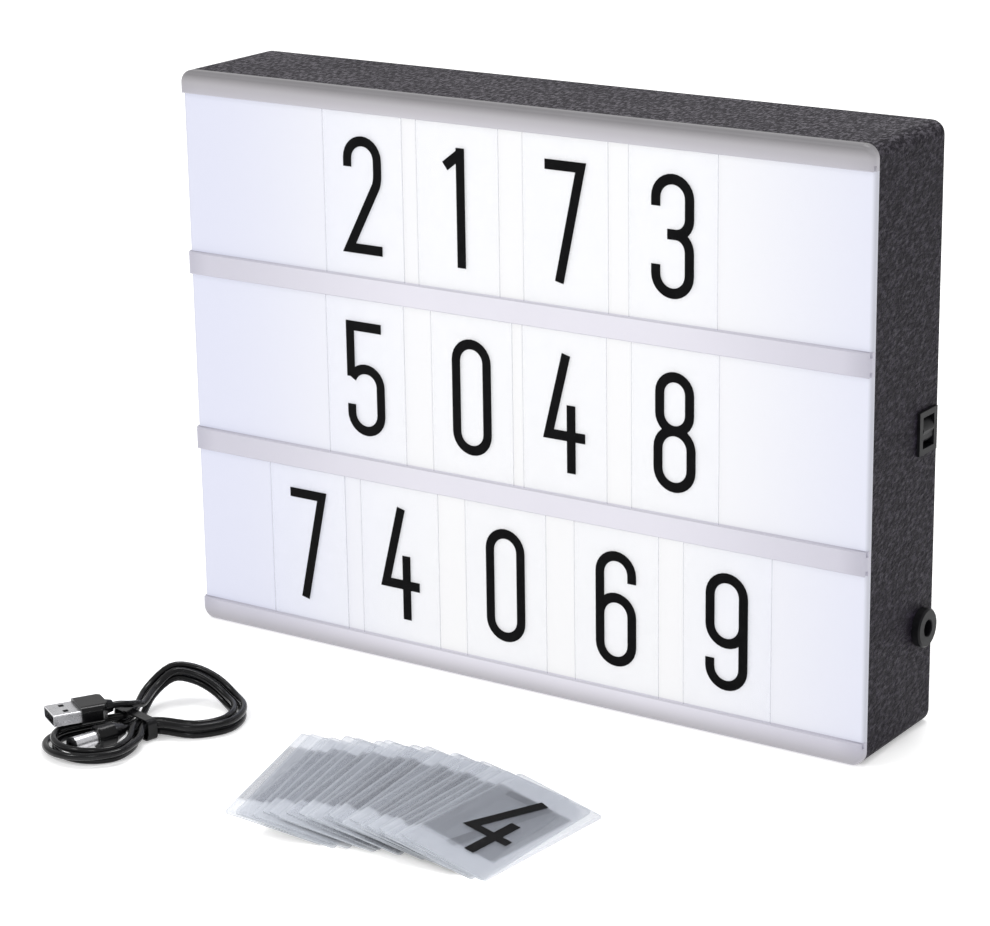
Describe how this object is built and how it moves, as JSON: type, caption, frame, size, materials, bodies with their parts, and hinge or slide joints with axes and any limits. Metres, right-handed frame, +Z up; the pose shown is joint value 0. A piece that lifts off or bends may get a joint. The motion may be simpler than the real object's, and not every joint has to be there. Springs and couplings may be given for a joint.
{
  "type": "cinema light box",
  "caption": "Back-lit message box: white panel with rails that hold sliding cards, grained dark case, rocker switch, power socket, battery bay and keyholes, with spare cards and a tied cable.",
  "frame": {"origin": "middle of the base of the box, halfway between the rail faces and the back", "axes": "+X to the right seen from the front, +Y to the back, +Z up"},
  "size_m": [0.3032, 0.219, 0.224],
  "materials": {
    "case_plastic": "grained, charcoal",
    "panel": "translucent opal, glows when lit",
    "rail": "satin, pale lavender grey",
    "card": "clear film, satin, printed with one black digit",
    "spare_card": "clear film, satin",
    "reflector": "white film",
    "board": "white solder mask",
    "light": "yellow phosphor under clear resin",
    "black_plastic": "satin, black",
    "gloss_black": "semi-gloss, black",
    "steel": "nickel plated",
    "tinned_brass": "tinned",
    "wire_red": "red sleeve",
    "wire_black": "black sleeve",
    "cable": "glossy black sleeve"
  },
  "bodies": {
    "box": {"case": "case_plastic", "lid": "panel", "rail_top": "rail", "rail_upper": "rail", "rail_lower": "rail", "rail_bottom": "rail", "reflector": "reflector", "light_boards": "board", "lights": "light", "battery_bay": "black_plastic", "battery_contacts": "steel", "battery_springs": "steel", "lid_screws": "steel", "switch_body": "gloss_black", "switch_terminals": "tinned_brass", "jack_socket": "gloss_black", "jack_pin": "tinned_brass", "jack_nut": "steel", "jack_lugs": "tinned_brass", "wires_red": "wire_red", "wires_black": "wire_black", "spare_card_fan": "spare_card", "cable_hank": "cable", "cable_tie": "cable", "dc_plug_grip": "cable", "dc_plug_barrel": "steel", "dc_plug_collar": "gloss_black", "usb_plug_grip": "cable", "usb_plug_shell": "steel", "usb_plug_tongue": "gloss_black"},
    "rocker": {"switch_rocker": "gloss_black"},
    "door": {"battery_door": "case_plastic"},
    "card_top_1_body": {"card_top_1": "card"},
    "card_top_2_body": {"card_top_2": "card"},
    "card_top_3_body": {"card_top_3": "card"},
    "card_top_4_body": {"card_top_4": "card"},
    "card_mid_1_body": {"card_mid_1": "card"},
    "card_mid_2_body": {"card_mid_2": "card"},
    "card_mid_3_body": {"card_mid_3": "card"},
    "card_mid_4_body": {"card_mid_4": "card"},
    "card_low_1_body": {"card_low_1": "card"},
    "card_low_2_body": {"card_low_2": "card"},
    "card_low_3_body": {"card_low_3": "card"},
    "card_low_4_body": {"card_low_4": "card"},
    "card_low_5_body": {"card_low_5": "card"}
  },
  "joints": [
    {"name": "card_top_1_slide", "type": "slide", "parent": "box", "child": "card_top_1_body", "axis": [1, 0, 0], "range_m": [-0.09625, 0.0031]},
    {"name": "card_top_2_slide", "type": "slide", "parent": "box", "child": "card_top_2_body", "axis": [1, 0, 0], "range_m": [-0.0031, 0.0051]},
    {"name": "card_top_3_slide", "type": "slide", "parent": "box", "child": "card_top_3_body", "axis": [1, 0, 0], "range_m": [-0.0051, 0.0041]},
    {"name": "card_top_4_slide", "type": "slide", "parent": "box", "child": "card_top_4_body", "axis": [1, 0, 0], "range_m": [-0.0041, 0.08925]},
    {"name": "card_mid_1_slide", "type": "slide", "parent": "box", "child": "card_mid_1_body", "axis": [1, 0, 0], "range_m": [-0.09525, 0.0061]},
    {"name": "card_mid_2_slide", "type": "slide", "parent": "box", "child": "card_mid_2_body", "axis": [1, 0, 0], "range_m": [-0.0061, 0.0021]},
    {"name": "card_mid_3_slide", "type": "slide", "parent": "box", "child": "card_mid_3_body", "axis": [1, 0, 0], "range_m": [-0.0021, 0.0051]},
    {"name": "card_mid_4_slide", "type": "slide", "parent": "box", "child": "card_mid_4_body", "axis": [1, 0, 0], "range_m": [-0.0051, 0.08825]},
    {"name": "card_low_1_slide", "type": "slide", "parent": "box", "child": "card_low_1_body", "axis": [1, 0, 0], "range_m": [-0.06525, 0.0036]},
    {"name": "card_low_2_slide", "type": "slide", "parent": "box", "child": "card_low_2_body", "axis": [1, 0, 0], "range_m": [-0.0036, 0.0061]},
    {"name": "card_low_3_slide", "type": "slide", "parent": "box", "child": "card_low_3_body", "axis": [1, 0, 0], "range_m": [-0.0061, 0.0061]},
    {"name": "card_low_4_slide", "type": "slide", "parent": "box", "child": "card_low_4_body", "axis": [1, 0, 0], "range_m": [-0.0061, 0.0051]},
    {"name": "card_low_5_slide", "type": "slide", "parent": "box", "child": "card_low_5_body", "axis": [1, 0, 0], "range_m": [-0.0051, 0.06625]},
    {"name": "rocker_tilt", "type": "hinge", "parent": "box", "child": "rocker", "pos_m": [0.1459, 0.0165, 0.114], "axis": [0, 1, 0], "range_deg": [-20, 0]},
    {"name": "door_hinge", "type": "hinge", "parent": "box", "child": "door", "pos_m": [0, 0.0275, 0.0519], "axis": [-1, 0, 0], "range_deg": [0, 80]}
  ]
}
